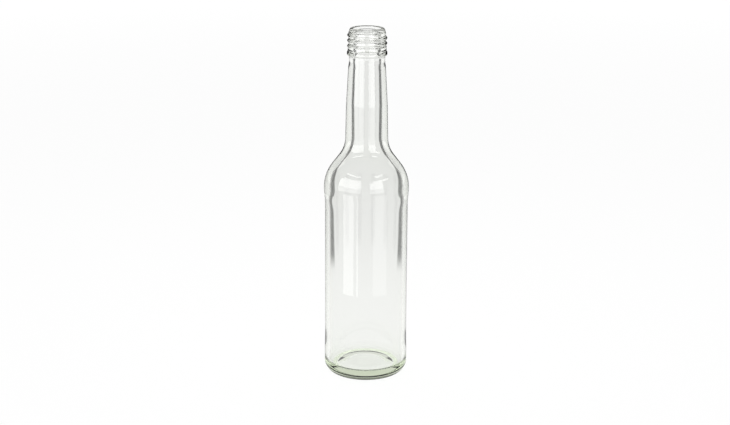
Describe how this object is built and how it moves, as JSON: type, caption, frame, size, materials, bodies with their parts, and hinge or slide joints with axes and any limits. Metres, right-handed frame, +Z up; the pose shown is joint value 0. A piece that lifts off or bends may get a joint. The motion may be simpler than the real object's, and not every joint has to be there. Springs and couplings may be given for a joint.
{
  "type": "glass bottle",
  "caption": "Clear glass bottle with a long neck, sloping shoulder and open threaded mouth, for drinks and other liquids.",
  "frame": {"origin": "centre of the ring that the bottle stands on, at table height", "axes": "+Z up along the bottle's axis, from the base to the mouth; +X is any direction square to it, and the thread starts towards -Y"},
  "size_m": [0.06, 0.06, 0.25],
  "materials": {
    "clear_glass": "smooth, clear, with a faint green tint where it is thick"
  },
  "bodies": {
    "root": {"bottle": "clear_glass"}
  },
  "joints": []
}
